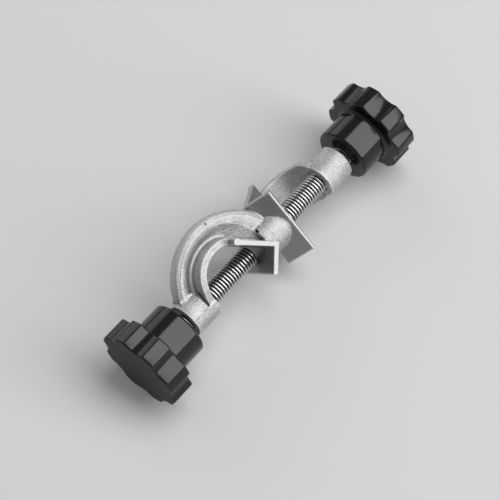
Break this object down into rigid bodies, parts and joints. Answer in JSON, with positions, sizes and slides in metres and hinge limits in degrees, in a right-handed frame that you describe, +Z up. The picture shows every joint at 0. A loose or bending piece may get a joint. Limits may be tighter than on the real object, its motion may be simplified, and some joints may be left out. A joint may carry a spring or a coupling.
{
  "type": "boss head clamp",
  "caption": "Laboratory boss head: an aluminium casting with V jaws at right angles, each closed by a thumb screw with a lobed black knob.",
  "frame": {"origin": "on the surface that the clamp lies on, below the middle of its bounding box", "axes": "+X along both screws, from the end whose arm stands up to the end whose arm lies down; +Z up"},
  "size_m": [0.1324, 0.0346, 0.0363],
  "materials": {
    "casting": "blasted casting, satin",
    "screw": "zinc plated, bright",
    "knob": "gloss"
  },
  "bodies": {
    "casting": {"cast_body": "casting"},
    "screw_a": {"screw_1": "screw"},
    "screw_b": {"screw_2": "screw"},
    "knob_a": {"knob_1": "knob"},
    "knob_b": {"knob_2": "knob"}
  },
  "joints": [
    {"name": "screw_1_slide", "type": "slide", "parent": "casting", "child": "screw_a", "axis": [-1, 0, 0], "range_m": [0, 0.022]},
    {"name": "knob_1_turn", "type": "hinge", "parent": "screw_a", "child": "knob_a", "pos_m": [-0.055, -0.00089, 0.01808], "axis": [-1, 0, 0], "range_deg": [0, 6300]},
    {"name": "screw_2_slide", "type": "slide", "parent": "casting", "child": "screw_b", "axis": [1, 0, 0], "range_m": [0, 0.022]},
    {"name": "knob_2_turn", "type": "hinge", "parent": "screw_b", "child": "knob_b", "pos_m": [0.055, -0.00089, 0.01808], "axis": [1, 0, 0], "range_deg": [0, 6300]}
  ],
  "couplings": [
    {"joint": "screw_1_slide", "follows": "knob_1_turn", "m_per_rad": 0.00019894},
    {"joint": "screw_2_slide", "follows": "knob_2_turn", "m_per_rad": 0.00019894}
  ]
}
